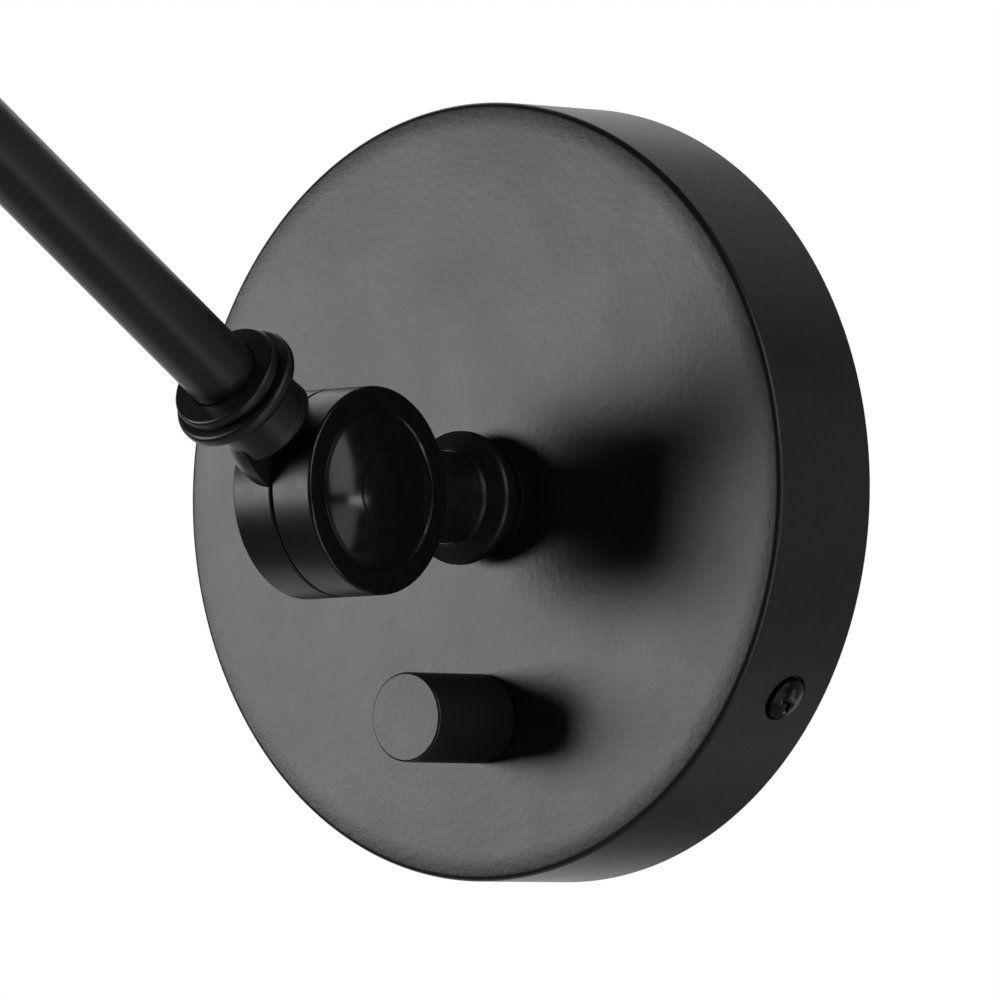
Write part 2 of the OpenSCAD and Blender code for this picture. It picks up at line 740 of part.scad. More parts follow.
canopy();
wall_bracket();
canopy_screws();
ground_screw();
swivel_washer();
dimmer_body();
dimmer_bushing();
dimmer_terminals();
dimmer_nut();
wire_connectors();
canopy_wires();
dimmer_shaft();
dimmer_knob();
wall_knuckle();
wall_collar();
wall_nipple();
wall_lock_washer();
wall_nut();
wall_wire_bushing();
wall_lead();
lower_pivot_bolt();
lower_head_plug();
lower_friction_washer();
lower_spring_washer();
lower_pivot_nut();
lower_knuckle();
lower_pivot_plug();
lower_collar();
arm_tube();
arm_nipples();
arm_lead();
upper_collar();
upper_knuckle();
upper_pivot_plug();
shade_knuckle();
shade_collar();
shade_nipple();
shade_lock_washer();
shade_nut();
upper_pivot_bolt();
upper_head_plug();
upper_friction_washer();
upper_spring_washer();
upper_pivot_nut();
socket_cup();
lampholder();
screw_shell();
centre_contact();
socket_lead();
shade();
shade_ring();
bulb_glass();
bulb_base();
bulb_contact();
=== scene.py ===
"""Swing arm wall sconce: the looks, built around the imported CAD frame.

Every turned piece is an outline of (radius, height) in millimetres, swept round the axis that the
frame gives it. Metres are used everywhere else.
"""

import json
import math

import bmesh
import bpy
from mathutils import Matrix, Vector

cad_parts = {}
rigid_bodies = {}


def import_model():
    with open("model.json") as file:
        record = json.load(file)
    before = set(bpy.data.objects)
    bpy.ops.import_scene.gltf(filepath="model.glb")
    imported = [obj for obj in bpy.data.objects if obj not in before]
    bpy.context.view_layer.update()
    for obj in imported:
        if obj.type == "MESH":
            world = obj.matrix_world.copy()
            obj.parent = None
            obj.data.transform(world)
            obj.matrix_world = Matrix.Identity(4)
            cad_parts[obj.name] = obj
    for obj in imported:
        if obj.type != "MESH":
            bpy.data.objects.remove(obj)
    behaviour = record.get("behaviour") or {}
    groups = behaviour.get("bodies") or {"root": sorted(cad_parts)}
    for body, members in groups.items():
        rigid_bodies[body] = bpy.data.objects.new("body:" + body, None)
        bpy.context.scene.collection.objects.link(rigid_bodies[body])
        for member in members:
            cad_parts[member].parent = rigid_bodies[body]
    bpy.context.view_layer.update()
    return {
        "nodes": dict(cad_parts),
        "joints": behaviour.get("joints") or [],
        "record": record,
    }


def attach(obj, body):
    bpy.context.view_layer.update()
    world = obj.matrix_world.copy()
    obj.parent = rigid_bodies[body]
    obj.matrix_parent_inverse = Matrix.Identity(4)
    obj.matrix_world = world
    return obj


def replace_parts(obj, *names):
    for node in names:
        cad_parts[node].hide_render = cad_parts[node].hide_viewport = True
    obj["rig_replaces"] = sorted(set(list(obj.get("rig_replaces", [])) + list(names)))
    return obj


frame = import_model()
MM = 0.001

# ---------------------------------------------------------------- sizes, in millimetres

CANOPY_R = 60
CANOPY_DEPTH = 21.8
CANOPY_WALL = 1.2
CANOPY_EDGE = 0.9
CANOPY_FALL = math.radians(7)    # slope of the front where it meets its rounded edge
CANOPY_FALL_W = 3.5
CANOPY_INNER_EDGE = 0.5
SIDE_SCREW_OUT = 9
SIDE_SCREW_ANGLE = -34
SIDE_HOLE_R = 3.8
SIDE_HEAD_R = 3.4
SIDE_HEAD_H = 3.2
SIDE_RECESS = 4.6         # across the arms of the cross recess
SIDE_RECESS_ARM = 0.9     # thickness of one arm
SIDE_RECESS_DEPTH = 1.5
TAB_R = 58
DIMMER_HOLE_R = 3.6
KNOB_R = 6.9
KNOB_FROM = 22.4
KNOB_TO = 39.9
KNOB_WALL = 0.7
KNOB_HOLLOW = 3.8         # depth of the hollow at the knob's back

NIPPLE_HOLE_R = 4.95

DRUM_R = 15.9
SEAM = 0.2                # from the joint's middle plane to each half
FACE_X = 7.85
DOME_R = 12.1
DOME_H = 3
DOME_BALL = (DOME_R ** 2 + DOME_H ** 2) / (2 * DOME_H)
HUB_R = 5
PIVOT_HOLE_R = 2.55
CHAMBER_R = 12.4
CHAMBER_X = 3.2
POCKET_R = 6.3            # pocket for the pivot bolt's head or nut, under its plug
POCKET_X = 5.2
PLUG_BACK = 9.2

NECK_R = 7.1
NECK_FROM = 18.7
NECK_TO = 24.6
NIPPLE_FROM = 20.3
BOSS_R = 8.3
BOSS_FROM = 12.6
BOSS_STRAIGHT = 3         # before it starts to narrow
BOSS_TOP = 22
COLLAR_R = 10.3
COLLAR_FRONT = 31.3

TUBE_R = 5.6
TUBE_BORE_R = 5.0

CUP_R = 21
CUP_TO = 78
CUP_WALL = 1.2
HOLDER_R = 17.6
SHADE_TOP_R = 25
SHADE_R = 73
SHADE_H = 88
SHADE_SHOULDER_R = 6
SHADE_WALL = 1
RIM_BEAD_R = 1.6
RIM_BEAD_IN = 0.8
RING_R = 21.2
RING_FROM = 79
RING_TO = 84.2
RING_GRIPS = 12

BULB_R = 30
BULB_MIDDLE = 130
BULB_NECK_R = 12.9
BULB_NECK_FROM = 80
BULB_WALL = 0.9

# ---------------------------------------------------------------- frames

JOINTS = {joint["name"]: joint for joint in frame["joints"]}
LOWER_PIVOT = Vector(JOINTS["arm_tilt"]["pos_m"])
UPPER_PIVOT = Vector(JOINTS["shade_tilt"]["pos_m"])
DIMMER = Vector((JOINTS["dimmer_turn"]["pos_m"][0], 0, JOINTS["dimmer_turn"]["pos_m"][2]))
ARM_LENGTH = (UPPER_PIVOT - LOWER_PIVOT).length / MM


def axes(origin, z, x=(1, 0, 0)):
    """A local frame at origin with that Z, and X as near to x as it can be."""
    z = Vector(z).normalized()
    y = z.cross(Vector(x)).normalized()
    place = Matrix((y.cross(z), y, z)).transposed().to_4x4()
    place.translation = Vector(origin)
    return place


OUTWARD = axes((0, 0, 0), (0, -1, 0))
AT_DIMMER = axes(DIMMER, (0, -1, 0))
AT_POST = axes(JOINTS["wall_swivel_turn"]["pos_m"], (0, -1, 0))
AT_WALL_JOINT = axes(LOWER_PIVOT, (0, 1, 0))
AT_ARM_FOOT = axes(LOWER_PIVOT, UPPER_PIVOT - LOWER_PIVOT)
AT_ARM_HEAD = axes(UPPER_PIVOT, LOWER_PIVOT - UPPER_PIVOT)
AT_SHADE = axes(UPPER_PIVOT, (0, 0, -1))


def side_screw(turn):
    """Local frame of a side screw: Z points out of the canopy's side."""
    angle = math.radians(SIDE_SCREW_ANGLE + turn)
    way = Vector((math.cos(angle), 0, math.sin(angle)))
    return axes(Vector((0, -SIDE_SCREW_OUT * MM, 0)), way, x=(0, 1, 0))


# ---------------------------------------------------------------- mesh tools


def rounded(corners, steps=5):
    """A closed outline from corners (radius, height) or (radius, height, fillet)."""
    points = []
    for i, corner in enumerate(corners):
        here = Vector(corner[:2])
        if len(corner) < 3:
            points.append(here)
            continue
        to_last = (Vector(corners[i - 1][:2]) - here).normalized()
        to_next = (Vector(corners[(i + 1) % len(corners)][:2]) - here).normalized()
        half = to_last.angle(to_next) / 2
        centre = here + (to_last + to_next).normalized() * corner[2] / math.sin(half)
        reach = corner[2] / math.tan(half)
        first = here + to_last * reach - centre
        last = here + to_next * reach - centre
        start = math.atan2(first.y, first.x)
        turn = math.remainder(math.atan2(last.y, last.x) - start, math.tau)
        for k in range(steps + 1):
            a = start + turn * k / steps
            points.append(centre + Vector((math.cos(a), math.sin(a))) * corner[2])
    return points


def finish_mesh(name, bm, place=None):
    """A mesh object in the row frame from a bmesh in local millimetres."""
    bmesh.ops.recalc_face_normals(bm, faces=bm.faces)
    mesh = bpy.data.meshes.new(name)
    bm.to_mesh(mesh)
    bm.free()
    if place is not None:
        mesh.transform(place @ Matrix.Scale(MM, 4))
    obj = bpy.data.objects.new(name, mesh)
    bpy.context.scene.collection.objects.link(obj)
    return obj


def turned_bmesh(outline, segments):
    """A closed bmesh swept round Z from a closed outline of (radius, height)."""
    bm = bmesh.new()
    rings = []
    for r, z in outline:
        if abs(r) < 1e-6:
            rings.append([bm.verts.new((0, 0, z))] * segments)
            continue
        angles = [math.tau * k / segments for k in range(segments)]
        rings.append([bm.verts.new((r * math.cos(a), r * math.sin(a), z)) for a in angles])
    for ring, after in zip(rings, rings[1:] + rings[:1]):
        for k in range(segments):
            m = (k + 1) % segments
            corners = list(dict.fromkeys((ring[k], ring[m], after[m], after[k])))
            if len(corners) > 2:
                bm.faces.new(corners)
    return bm


def turned(name, outline, place, segments=160):
    return finish_mesh(name, turned_bmesh(outline, segments), place)


def block(name, size_low, size_high, low, high, place):
    """A square-ended wedge: size (x, y) at height low and at height high."""
    bm = bmesh.new()
    corners = [(-1, -1), (1, -1), (1, 1), (-1, 1)]
    rings = [[bm.verts.new((sx * size[0] / 2, sy * size[1] / 2, z)) for sx, sy in corners]
             for size, z in ((size_low, low), (size_high, high))]
    bm.faces.new(rings[0])
    bm.faces.new(rings[1])
    for k in range(4):
        m = (k + 1) % 4
        bm.faces.new((rings[0][k], rings[0][m], rings[1][m], rings[1][k]))
    return finish_mesh(name, bm, place)


def carve(obj, cutters, operation="DIFFERENCE"):
    """Applies exact booleans to obj and deletes the cutters."""
    for cutter in cutters:
        step = obj.modifiers.new("carve", "BOOLEAN")
        step.operation = operation
        step.solver = "EXACT"
        step.object = cutter
        bpy.context.view_layer.update()
        graph = bpy.context.evaluated_depsgraph_get()
        mesh = bpy.data.meshes.new_from_object(obj.evaluated_get(graph))
        obj.modifiers.clear()
        old = obj.data
        obj.data = mesh
        bpy.data.meshes.remove(old)
        bpy.data.objects.remove(cutter)
    return obj


def smooth(obj, angle=32):
    """Smooth shading with crisp edges above that angle."""
    obj.data.shade_smooth()
    obj.data.set_sharp_from_angle(angle=math.radians(angle))
    weights = obj.modifiers.new("even_normals", "WEIGHTED_NORMAL")
    weights.keep_sharp = True
    weights.weight = 60
    return obj


def piece(obj, node, body, material):
    """Hands a finished piece to the frame in place of its CAD node."""
    smooth(obj)
    obj.data.materials.clear()
    obj.data.materials.append(material)
    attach(obj, body)
    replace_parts(obj, node)
    return obj


# ---------------------------------------------------------------- materials


class Nodes:
    """A short way to write a material's nodes."""

    def __init__(self, name):
        self.material = bpy.data.materials.new(name)
        self.material.use_nodes = True
        self.tree = self.material.node_tree
        self.shader = self.tree.nodes["Principled BSDF"]
        self.place = self.add("ShaderNodeTexCoord").outputs["Object"]

    def add(self, kind, **settings):
        node = self.tree.nodes.new(kind)
        for key, value in settings.items():
            setattr(node, key, value)
        return node

    def link(self, source, target):
        self.tree.links.new(source, target)

    def set(self, **values):
        for key, value in values.items():
            self.shader.inputs[key.replace("_", " ")].default_value = value

    def noise(self, scale, detail=2.0, rough=0.5, stretch=None):
        node = self.add("ShaderNodeTexNoise")
        node.inputs["Scale"].default_value = scale
        node.inputs["Detail"].default_value = detail
        node.inputs["Roughness"].default_value = rough
        source = self.place
        if stretch:
            mapping = self.add("ShaderNodeMapping")
            mapping.inputs["Scale"].default_value = stretch
            self.link(source, mapping.inputs["Vector"])
            source = mapping.outputs["Vector"]
        self.link(source, node.inputs["Vector"])
        return node.outputs["Fac"]

    def ramp(self, source, low, high, to_low, to_high):
        node = self.add("ShaderNodeMapRange")
        limits = {"From Min": low, "From Max": high, "To Min": to_low, "To Max": to_high}
        for key, value in limits.items():
            node.inputs[key].default_value = value
        self.link(source, node.inputs["Value"])
        return node.outputs["Result"]

    def colour(self, source, low, high, first, second):
        node = self.add("ShaderNodeValToRGB")
        for stop, place, value in zip(node.color_ramp.elements, (low, high), (first, second)):
            stop.position = place
            stop.color = (*value, 1)
        self.link(source, node.inputs["Fac"])
        self.link(node.outputs["Color"], self.shader.inputs["Base Color"])

    def bump(self, *heights):
        """heights are (source, depth in metres), laid one on another."""
        normal = None
        for source, depth in heights:
            node = self.add("ShaderNodeBump")
            node.inputs["Strength"].default_value = 1
            node.inputs["Distance"].default_value = depth
            self.link(source, node.inputs["Height"])
            if normal is not None:
                self.link(normal, node.inputs["Normal"])
            normal = node.outputs["Normal"]
        self.link(normal, self.shader.inputs["Normal"])


def powder_coat():
    """Matte black powder coat: an orange-peel skin with a fine grain on it."""
    n = Nodes("black_powder_coat")
    peel = n.noise(900, 2, 0.5)
    grain = n.noise(4200, 2, 0.6)
    cloud = n.noise(60, 3, 0.6)
    n.colour(cloud, 0.3, 0.7, (0.0105, 0.0105, 0.0108), (0.0135, 0.0135, 0.014))
    n.link(n.ramp(cloud, 0.3, 0.7, 0.33, 0.37), n.shader.inputs["Roughness"])
    n.bump((peel, 0.000032), (grain, 0.000013))
    return n.material


def lacquer(name, rough, depth):
    """Black lacquer on the turned and cast pieces: satin, or glossy on the joints' faces."""
    n = Nodes(name)
    wave = n.noise(420, 2, 0.5)
    grain = n.noise(3000, 2, 0.5)
    n.colour(wave, 0.3, 0.7, (0.0065, 0.0065, 0.007), (0.0085, 0.0085, 0.009))
    n.link(n.ramp(wave, 0.3, 0.7, rough - 0.02, rough + 0.03), n.shader.inputs["Roughness"])
    n.bump((wave, depth), (grain, depth / 4))
    return n.material


def white_enamel():
    n = Nodes("white_enamel")
    wave = n.noise(240, 2, 0.5)
    n.colour(wave, 0.3, 0.7, (0.80, 0.79, 0.76), (0.86, 0.85, 0.82))
    n.link(n.ramp(wave, 0.3, 0.7, 0.28, 0.36), n.shader.inputs["Roughness"])
    n.bump((wave, 0.000015))
    return n.material


def metal(name, dark, light, rough, stretch=(1, 1, 1)):
    """Plated or bare metal with fine tool marks and small stains."""
    n = Nodes(name)
    lines = n.noise(2600, 3, 0.6, stretch)
    stain = n.noise(160, 4, 0.6)
    n.colour(stain, 0.35, 0.7, dark, light)
    n.link(n.ramp(lines, 0.3, 0.7, rough - 0.06, rough + 0.08), n.shader.inputs["Roughness"])
    n.set(Metallic=1.0)
    n.bump((lines, 0.000004))
    return n.material


def plastic(name, dark, light, rough, depth=0.000008, scale=900):
    """Moulded plastic or fibre with a fine skin."""
    n = Nodes(name)
    skin = n.noise(scale, 3, 0.6)
    n.colour(skin, 0.3, 0.7, dark, light)
    n.link(n.ramp(skin, 0.3, 0.7, rough - 0.05, rough + 0.06), n.shader.inputs["Roughness"])
    n.bump((skin, depth))
    return n.material


def oxide_screw():
    """Black oxide with small bright worn specks."""
    n = Nodes("black_screw")
    wear = n.noise(1500, 3, 0.6)
    n.colour(wear, 0.64, 0.80, (0.018, 0.018, 0.02), (0.16, 0.16, 0.165))
    n.link(n.ramp(wear, 0.3, 0.7, 0.26, 0.36), n.shader.inputs["Roughness"])
    n.set(Metallic=0.85)
    n.bump((wear, 0.000010))
    return n.material


def frosted_glass():
    n = Nodes("frosted_glass")
    frost = n.noise(1800, 2, 0.5)
    n.colour(frost, 0.3, 0.7, (0.93, 0.92, 0.89), (0.97, 0.96, 0.93))
    n.link(n.ramp(frost, 0.3, 0.7, 0.34, 0.42), n.shader.inputs["Roughness"])
    n.set(Transmission_Weight=0.55, IOR=1.5)
    n.bump((frost, 0.000004))
    return n.material


MATERIALS = {
    "black_powder_coat": powder_coat(),
    "black_satin_paint": lacquer("black_satin_paint", 0.37, 0.000008),
    "black_gloss_paint": lacquer("black_gloss_paint", 0.15, 0.000004),
    "worn_steel": metal("worn_steel", (0.50, 0.50, 0.51), (0.80, 0.80, 0.81), 0.36),
    "white_enamel": white_enamel(),
    "black_screw": oxide_screw(),
    "zinc_steel": metal("zinc_steel", (0.50, 0.50, 0.49), (0.68, 0.69, 0.70), 0.30),
    "brass": metal("brass", (0.60, 0.40, 0.15), (0.78, 0.57, 0.26), 0.28),
    "green_steel": metal("green_steel", (0.03, 0.16, 0.05), (0.06, 0.27, 0.10), 0.34),
    "nickel_base": metal("nickel_base", (0.58, 0.57, 0.54), (0.74, 0.73, 0.70), 0.24),
    "black_phenolic": plastic("black_phenolic", (0.012, 0.012, 0.013), (0.02, 0.02, 0.021), 0.34),
    "grey_fibre": plastic("grey_fibre", (0.035, 0.035, 0.037), (0.07, 0.07, 0.072), 0.7,
                          0.00002, 1400),
    "white_nylon": plastic("white_nylon", (0.76, 0.74, 0.69), (0.84, 0.82, 0.78), 0.42),
    "orange_plastic": plastic("orange_plastic", (0.62, 0.15, 0.02), (0.74, 0.21, 0.04), 0.38),
    "wire_insulation": plastic("wire_insulation", (0.02, 0.02, 0.022), (0.035, 0.035, 0.037), 0.4),
    "frosted_glass": frosted_glass(),
}
SLOT_OF = {part["node"]: part["material_slot"] for part in frame["record"]["subparts"]}


def add(obj, node):
    """Gives a piece the body of the CAD node it stands for, and the material that the node's slot
    names.
    """
    slot = SLOT_OF[node]
    body = next(b for b, nodes in frame["record"]["behaviour"]["bodies"].items() if node in nodes)
    return piece(obj, node, body, MATERIALS[slot])


# ---------------------------------------------------------------- canopy and knob


def arc(centre, r, first, last, steps):
    """Points on a circle round centre (radius, height), angles in radians."""
    turns = (first + (last - first) * k / steps for k in range(steps + 1))
    return [(centre[0] + r * math.cos(a), centre[1] + r * math.sin(a)) for a in turns]


def build_canopy():
    """Straight side, rounded edge, a short fall and a flat front."""
    inside = CANOPY_R - CANOPY_WALL
    steep = math.pi / 2 - CANOPY_FALL
    fall_r = CANOPY_FALL_W / math.sin(CANOPY_FALL)
    edge_at = (CANOPY_DEPTH - fall_r * (1 - math.cos(CANOPY_FALL))
               - CANOPY_EDGE * math.cos(CANOPY_FALL))
    fall_from = CANOPY_R - CANOPY_EDGE * (1 - math.sin(CANOPY_FALL)) - CANOPY_FALL_W
    front = arc((CANOPY_R - CANOPY_EDGE, edge_at), CANOPY_EDGE, 0, steep, 10)
    front += arc((fall_from, CANOPY_DEPTH - fall_r), fall_r, steep, math.pi / 2, 16)[1:]
    outline = rounded([(inside, 0, 0.15), (CANOPY_R, 0, 0.3)] + front + [
        (0, CANOPY_DEPTH), (0, CANOPY_DEPTH - CANOPY_WALL),
        (inside, CANOPY_DEPTH - CANOPY_WALL, CANOPY_INNER_EDGE)])
    canopy = turned("canopy_shell", outline, OUTWARD, 360)
    lip = 0.35
    cutters = []
    for turn in (0, 180):
        hole = [(0, CANOPY_R - 4), (SIDE_HOLE_R, CANOPY_R - 4), (SIDE_HOLE_R, CANOPY_R - lip),
                (SIDE_HOLE_R + lip, CANOPY_R + 0.1), (SIDE_HOLE_R + lip, CANOPY_R + 3),
                (0, CANOPY_R + 3)]
        cutters.append(turned("side_hole", hole, side_screw(turn), 64))
    for r, place in ((DIMMER_HOLE_R, AT_DIMMER), (NIPPLE_HOLE_R, AT_POST)):
        cutters.append(turned("hole", [(0, 15), (r, 15), (r, 25), (0, 25)], place, 96))
    add(carve(canopy, cutters), "canopy")


def cross_cutters(across, thick, top, depth, place):
    """Two crossed wedges that cut a cross recess down from height top."""
    cutters = []
    for turn in (4, 94):
        local = place @ Matrix.Rotation(math.radians(turn), 4, "Z")
        cutters.append(block("recess", (across * 0.45, thick * 0.7), (across * 1.12, thick * 1.12),
                             top - depth, top + 0.2, local))
    return cutters


def build_side_screws():
    """Domed heads that stand a little out of their holes, with worn cross recesses."""
    r, h = SIDE_HEAD_R, SIDE_HEAD_H
    head = rounded([
        (0, TAB_R - 10), (1.5, TAB_R - 10, 0.3), (1.7, TAB_R - 0.2), (r - 0.1, TAB_R, 0.1),
        (r, TAB_R + h * 0.76, 0.3), (1.6, TAB_R + h * 0.98, 1.5), (0, TAB_R + h)], steps=6)
    places = [side_screw(turn) for turn in (0, 180)]
    screws = [carve(turned("side_screw", head, place, 96),
                    cross_cutters(SIDE_RECESS, SIDE_RECESS_ARM, TAB_R + h,
                                  SIDE_RECESS_DEPTH, place))
              for place in places]
    both = add(join("canopy_side_screws", screws), "canopy_screws")
    both.data.materials.append(MATERIALS["worn_steel"])
    for face in both.data.polygons:
        at = max((place.inverted() @ face.center / MM for place in places),
                 key=lambda point: point.z)
        out = math.hypot(at.x, at.y)
        skin = TAB_R + h * (1 - 0.24 * (out / r) ** 2)
        face.material_index = int(out < 2.5 and TAB_R + 0.8 < at.z < skin - 0.12)


def join(name, objects):
    """One object from several, in the row frame."""
    bm = bmesh.new()
    for obj in objects:
        bm.from_mesh(obj.data)
        bpy.data.objects.remove(obj)
    mesh = bpy.data.meshes.new(name)
    bm.to_mesh(mesh)
    bm.free()
    joined = bpy.data.objects.new(name, mesh)
    bpy.context.scene.collection.objects.link(joined)
    return joined


def build_knob():
    bore = KNOB_R - KNOB_WALL
    outline = rounded([
        (0, KNOB_FROM + KNOB_HOLLOW), (bore, KNOB_FROM + KNOB_HOLLOW), (bore, KNOB_FROM, 0.1),
        (KNOB_R, KNOB_FROM, 0.25), (KNOB_R, KNOB_TO, 0.4), (0, KNOB_TO)])
    add(turned("knob_cap", outline, AT_DIMMER, 160), "dimmer_knob")


# ---------------------------------------------------------------- pivot joints


def dome(r):
    """Height of the domed face over the rim of a joint's face."""
    return math.sqrt(DOME_BALL ** 2 - r * r) - DOME_BALL + DOME_H


def drum_outline():
    steps = 20
    face = rounded([
        (PIVOT_HOLE_R, SEAM), (HUB_R, SEAM), (HUB_R, CHAMBER_X), (CHAMBER_R, CHAMBER_X),
        (CHAMBER_R, SEAM), (DRUM_R, SEAM, 0.3), (DRUM_R, FACE_X, 0.5), (DOME_R + 0.3, FACE_X, 0.12),
        (DOME_R, FACE_X - 0.3, 0.1), (DOME_R - 0.2, FACE_X + dome(DOME_R - 0.2), 0.1),
        (POCKET_R, POCKET_X)], steps=4)[:-1]
    skin = [(r, FACE_X + dome(r)) for r in
            (DOME_R - 0.35 - (DOME_R - 0.35 - POCKET_R - 0.12) * k / steps
             for k in range(steps + 1))]
    lip = [(POCKET_R + 0.03, FACE_X + dome(POCKET_R) - 0.02),
           (POCKET_R, FACE_X + dome(POCKET_R) - 0.2)]
    return face + skin + lip + [(POCKET_R, POCKET_X), (PIVOT_HOLE_R, POCKET_X)]


def build_knuckle(name, node, place, side):
    """Half of a joint: the turned drum, the neck, and the boss on this half's side of the seam."""
    pivot = axes(place.translation, place.to_3x3() @ Vector((side, 0, 0)), x=(0, 0, 1))
    drum = turned(name, drum_outline(), pivot, 256)
    neck = turned("neck", rounded([
        (0, NECK_FROM), (NECK_R + 0.15, NECK_FROM, 0.45), (NECK_R, NECK_FROM + 1.6, 0.8),
        (NECK_R, NECK_TO), (NIPPLE_HOLE_R, NECK_TO), (NIPPLE_HOLE_R, NIPPLE_FROM),
        (0, NIPPLE_FROM)]), place, 160)
    flare = [(0, BOSS_FROM), (BOSS_R, BOSS_FROM), (BOSS_R, BOSS_FROM + BOSS_STRAIGHT)]
    steps = 14
    for k in range(1, steps + 1):
        t = k / steps
        flare.append((BOSS_R - (BOSS_R - NECK_R + 0.1) * t * t * (2 - t),
                      BOSS_FROM + BOSS_STRAIGHT + (BOSS_TOP - BOSS_FROM - BOSS_STRAIGHT) * t))
    flare.append((0, BOSS_TOP))
    bm = turned_bmesh(flare, 160)
    for x, keep in ((SEAM, 1), (FACE_X - 0.05, -1)):
        cut = bmesh.ops.bisect_plane(
            bm, geom=bm.verts[:] + bm.edges[:] + bm.faces[:], plane_co=(side * x, 0, 0),
            plane_no=(-side * keep, 0, 0), clear_outer=True)
        edges = [e for e in cut["geom_cut"] if isinstance(e, bmesh.types.BMEdge)]
        bmesh.ops.contextual_create(bm, geom=edges)
    boss = finish_mesh("boss", bm, place)
    knuckle = add(carve(drum, [boss, neck], "UNION"), node)
    knuckle.data.materials.append(MATERIALS["black_gloss_paint"])
    back = pivot.inverted()
    for face in knuckle.data.polygons:
        at = back @ face.center / MM
        on_face = at.z > FACE_X - 0.35 and math.hypot(at.x, at.y) < DRUM_R - 0.15
        face.material_index = int(on_face)


def collar_outline(bore):
    """A cone that swells from the neck to a wide ring, then a groove and a smaller ring."""
    groove_r = COLLAR_R - 1.9
    front_r = COLLAR_R - 1.35
    return rounded([
        (bore, NECK_TO), (NECK_R + 0.1, NECK_TO), (NECK_R + 0.3, NECK_TO + 0.7, 0.8),
        (COLLAR_R, NECK_TO + 2.3, 1.1),
        (COLLAR_R, NECK_TO + 4.4, 0.8), (groove_r, NECK_TO + 4.5, 0.15),
        (groove_r, NECK_TO + 5.0, 0.15), (front_r, NECK_TO + 5.1, 0.2),
        (front_r, COLLAR_FRONT, 0.6), (bore + 0.15, COLLAR_FRONT, 0.12),
        (bore, COLLAR_FRONT - 0.3, 0.1)], steps=8)


def build_collar(name, node, place, bore):
    add(turned(name, collar_outline(bore), place, 200), node)


def build_plug(name, node, place, side):
    """Glossy plug over a pocket, flush with the joint's dome."""
    pivot = axes(place.translation, place.to_3x3() @ Vector((side, 0, 0)), x=(0, 0, 1))
    r = POCKET_R - 0.05
    steps = 12
    skin = [(q, FACE_X + dome(q)) for q in ((r - 0.06) * (1 - k / steps) for k in range(steps + 1))]
    outline = [(0, PLUG_BACK), (r, PLUG_BACK), (r, FACE_X + dome(r) - 0.06)] + skin
    plug = add(turned(name, outline, pivot, 160), node)
    plug.data.materials.append(MATERIALS["black_gloss_paint"])
    for face in plug.data.polygons:
        face.material_index = 1


# ---------------------------------------------------------------- arm and shade


def build_tube():
    outline = rounded([
        (TUBE_BORE_R, NECK_TO), (TUBE_R, NECK_TO, 0.15), (TUBE_R, ARM_LENGTH - NECK_TO, 0.15),
        (TUBE_BORE_R, ARM_LENGTH - NECK_TO)])
    add(turned("arm_tube_skin", outline, AT_ARM_FOOT, 128), "arm_tube")


def build_cup():
    outline = rounded([
        (NIPPLE_HOLE_R, COLLAR_FRONT + CUP_WALL), (NIPPLE_HOLE_R, COLLAR_FRONT, 0.1),
        (CUP_R, COLLAR_FRONT, 4), (CUP_R, CUP_TO, 0.25), (CUP_R - CUP_WALL, CUP_TO, 0.25),
        (CUP_R - CUP_WALL, COLLAR_FRONT + CUP_WALL, 2.8)], steps=10)
    add(turned("socket_cup_skin", outline, AT_SHADE, 200), "socket_cup")


def build_shade():
    """The spun shade: black outside, white enamel inside, with a rolled rim."""
    hole = HOLDER_R + 0.4
    slope = math.atan2(SHADE_H, SHADE_R - SHADE_TOP_R)
    inner_corner = SHADE_TOP_R - SHADE_WALL * math.tan(slope / 2)
    bead_mid = Vector((SHADE_R - RIM_BEAD_IN, CUP_TO + SHADE_H))
    turns = (math.radians(-90 + 20 * k) for k in range(17))
    bead = [bead_mid + Vector((math.cos(a), math.sin(a))) * RIM_BEAD_R for a in turns]
    outside = rounded([(hole, CUP_TO + SHADE_WALL), (hole, CUP_TO, 0.1),
                       (SHADE_TOP_R, CUP_TO, SHADE_SHOULDER_R), bead[0]], steps=10)
    inside = rounded([bead[-1], (inner_corner, CUP_TO + SHADE_WALL, SHADE_SHOULDER_R - SHADE_WALL),
                      (hole, CUP_TO + SHADE_WALL)], steps=10)
    segments = 256
    obj = turned("spun_shade", outside + bead[1:-1] + inside[:-1], AT_SHADE, segments)
    add(obj, "shade")
    obj.data.materials.append(MATERIALS["white_enamel"])
    first_inside = len(outside) + len(bead) - 2
    for index, face in enumerate(obj.data.polygons):
        if index // segments >= first_inside:
            face.material_index = 1


def build_shade_ring():
    """The ring that holds the shade, with round finger grips cut into its edge."""
    bore = HOLDER_R + 0.05
    grip_r, grip_out, grip_from = 1.4, RING_R + 0.8, RING_FROM + 0.6
    outline = rounded([
        (bore, RING_FROM), (RING_R, RING_FROM, 0.5), (RING_R, RING_TO, 0.9), (bore, RING_TO, 0.3)])
    ring = turned("shade_ring_skin", outline, AT_SHADE, 192)
    grip = [(0, grip_from), (grip_r, grip_from), (grip_r, RING_TO + 3.8), (0, RING_TO + 3.8)]
    cutters = []
    for k in range(RING_GRIPS):
        turn = Matrix.Rotation(math.tau * k / RING_GRIPS, 4, "Z")
        out = Matrix.Translation(Vector((grip_out, 0, 0)) * MM)
        cutters.append(turned("grip", grip, AT_SHADE @ turn @ out, 24))
    add(carve(ring, cutters), "shade_ring")


